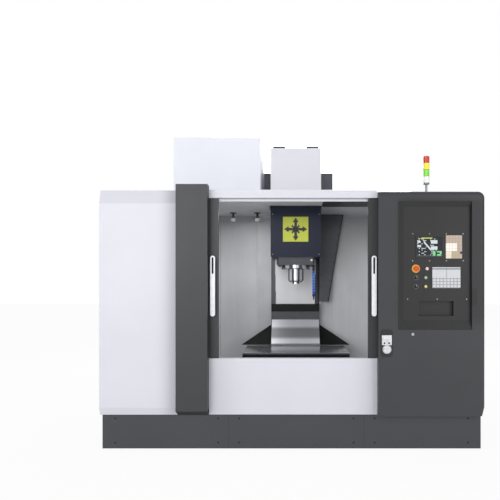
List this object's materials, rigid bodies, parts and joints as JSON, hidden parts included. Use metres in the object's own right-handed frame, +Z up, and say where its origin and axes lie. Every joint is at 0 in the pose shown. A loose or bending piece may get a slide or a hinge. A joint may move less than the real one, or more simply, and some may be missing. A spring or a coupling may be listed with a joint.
{
  "type": "cnc machining center",
  "caption": "Vertical machining center in a full enclosure: sliding doors, T-slotted table, vertical head, operator panel, roof tool magazine and rear cabinet.",
  "frame": {"origin": "on the floor, under the middle of the machine's whole width and depth", "axes": "+Z up, the doors face -Y, +X to the operator's right"},
  "size_m": [3.636, 2.759, 3.203],
  "materials": {
    "white_panels": "satin",
    "dark_panels": "satin",
    "door_frames": "satin",
    "head_blue": "satin",
    "inner_grey": "satin",
    "black_guards": "satin",
    "machine_castings": "painted, matt",
    "ground_table": "ground and milled",
    "bright_sheet": "ground sheet",
    "turned_steel": "polished",
    "bare_steel": "turned",
    "motor_black": "satin",
    "pump_blue": "gloss",
    "door_glass": "clear",
    "screen_glass": "gloss, with a graphic",
    "handle_white": "gloss",
    "keypad_beige": "matt",
    "key_panel_grey": "matt",
    "stop_red": "gloss",
    "knob_black": "matt",
    "start_green": "gloss",
    "hold_yellow": "gloss",
    "lamp_pink": "gloss",
    "collar_silver": "turned",
    "nozzle_blue": "matt",
    "tower_colours": "clear coloured lenses, one colour each",
    "pole_grey": "satin",
    "module_grey": "matt",
    "tank_grey": "satin"
  },
  "bodies": {
    "frame": {"bed": "machine_castings", "levelling_feet": "bare_steel", "column": "machine_castings", "screw_bearings": "bare_steel", "axis_motors": "motor_black", "column_guards": "black_guards", "slope_cover": "bright_sheet", "inner_walls": "inner_grey", "roof": "white_panels", "plinth": "dark_panels", "left_housing": "white_panels", "front_pillar": "dark_panels", "header": "white_panels", "front_apron": "white_panels", "right_cabinet": "dark_panels", "operator_panel": "dark_panels", "screen": "screen_glass", "keypad": "keypad_beige", "key_panel": "key_panel_grey", "switch_collars": "collar_silver", "power_lamp": "lamp_pink", "air_outlet": "bare_steel", "magazine_cover": "white_panels", "magazine_stand": "machine_castings", "tower_pole": "pole_grey", "tower_lamps": "tower_colours", "electric_cabinet": "tank_grey", "drive_modules": "module_grey", "coolant_tank": "tank_grey", "coolant_pump": "pump_blue"},
    "saddle": {"saddle": "machine_castings", "x_motor": "motor_black"},
    "table": {"table": "ground_table"},
    "head": {"head_casting": "machine_castings", "spindle_cartridge": "bare_steel", "spindle_motor": "motor_black", "head_cover_lower": "head_blue", "head_cover_upper": "white_panels", "coolant_nozzle": "nozzle_blue", "way_cover_top": "bright_sheet"},
    "spindle": {"spindle": "turned_steel"},
    "cover_middle": {"way_cover_middle": "bright_sheet"},
    "cover_low": {"way_cover_low": "bright_sheet"},
    "x_screw": {"x_screw": "turned_steel"},
    "y_screw": {"y_screw": "turned_steel"},
    "z_screw": {"z_screw": "turned_steel"},
    "left_door": {"left_door": "door_frames", "left_window": "door_glass", "left_handle": "handle_white"},
    "right_door": {"right_door": "door_frames", "right_window": "door_glass", "right_handle": "handle_white"},
    "tool_magazine": {"magazine_disc": "bare_steel"},
    "stop_button": {"stop_button": "stop_red"},
    "start_button": {"start_button": "start_green"},
    "hold_button": {"hold_button": "hold_yellow"},
    "selector_upper": {"selector_upper": "knob_black"},
    "selector_lower": {"selector_lower": "knob_black"},
    "panel_lock": {"panel_lock": "collar_silver"},
    "electric_door": {"electric_door": "tank_grey"}
  },
  "joints": [
    {"name": "y_axis", "type": "slide", "parent": "frame", "child": "saddle", "axis": [0, 1, 0], "range_m": [-0.3, 0.3]},
    {"name": "x_axis", "type": "slide", "parent": "saddle", "child": "table", "axis": [1, 0, 0], "range_m": [-0.45, 0.45]},
    {"name": "z_axis", "type": "slide", "parent": "frame", "child": "head", "axis": [0, 0, 1], "range_m": [-0.55, 0.09]},
    {"name": "cover_middle_slide", "type": "slide", "parent": "frame", "child": "cover_middle", "axis": [0, 0, 1], "range_m": [-0.38, 0.065]},
    {"name": "cover_low_slide", "type": "slide", "parent": "frame", "child": "cover_low", "axis": [0, 0, 1], "range_m": [-0.19, 0.035]},
    {"name": "spindle_turn", "type": "hinge", "parent": "head", "child": "spindle", "pos_m": [0.047, -0.2765, 1.779], "axis": [0, 0, 1], "continuous": true},
    {"name": "x_screw_turn", "type": "hinge", "parent": "saddle", "child": "x_screw", "pos_m": [0.047, -0.2965, 0.62], "axis": [1, 0, 0], "continuous": true},
    {"name": "y_screw_turn", "type": "hinge", "parent": "frame", "child": "y_screw", "pos_m": [0.047, -0.2965, 0.42], "axis": [0, 1, 0], "continuous": true},
    {"name": "z_screw_turn", "type": "hinge", "parent": "frame", "child": "z_screw", "pos_m": [0.047, 0.3985, 2], "axis": [0, 0, 1], "continuous": true},
    {"name": "left_door_slide", "type": "slide", "parent": "frame", "child": "left_door", "axis": [1, 0, 0], "range_m": [0, 0.712]},
    {"name": "right_door_slide", "type": "slide", "parent": "frame", "child": "right_door", "axis": [-1, 0, 0], "range_m": [0, 0.712]},
    {"name": "magazine_turn", "type": "hinge", "parent": "frame", "child": "tool_magazine", "pos_m": [-0.77, -0.2265, 2.801], "axis": [1, 0, 0], "continuous": true},
    {"name": "stop_push", "type": "slide", "parent": "frame", "child": "stop_button", "axis": [0, 1, 0], "range_m": [0, 0.005]},
    {"name": "start_push", "type": "slide", "parent": "frame", "child": "start_button", "axis": [0, 1, 0], "range_m": [0, 0.003], "stiffness_N_per_m": 800, "springref_m": -0.002},
    {"name": "hold_push", "type": "slide", "parent": "frame", "child": "hold_button", "axis": [0, 1, 0], "range_m": [0, 0.003], "stiffness_N_per_m": 800, "springref_m": -0.002},
    {"name": "selector_upper_turn", "type": "hinge", "parent": "frame", "child": "selector_upper", "pos_m": [1.171, -1.3145, 1.632], "axis": [0, 1, 0], "range_deg": [-45, 45]},
    {"name": "selector_lower_turn", "type": "hinge", "parent": "frame", "child": "selector_lower", "pos_m": [1.171, -1.3145, 1.548], "axis": [0, 1, 0], "range_deg": [-45, 45]},
    {"name": "lock_turn", "type": "hinge", "parent": "frame", "child": "panel_lock", "pos_m": [1.133, -1.3465, 1.102], "axis": [0, 1, 0], "range_deg": [0, 90]},
    {"name": "electric_door_hinge", "type": "hinge", "parent": "frame", "child": "electric_door", "pos_m": [1.58, 1.3545, 0.4], "axis": [0, 0, -1], "range_deg": [0, 110]}
  ],
  "couplings": [
    {"joint": "cover_middle_slide", "follows": "z_axis", "ratio": 0.6667},
    {"joint": "cover_low_slide", "follows": "z_axis", "ratio": 0.3333},
    {"joint": "x_screw_turn", "follows": "x_axis", "rad_per_m": 628.32},
    {"joint": "y_screw_turn", "follows": "y_axis", "rad_per_m": 628.32},
    {"joint": "z_screw_turn", "follows": "z_axis", "rad_per_m": 628.32}
  ]
}
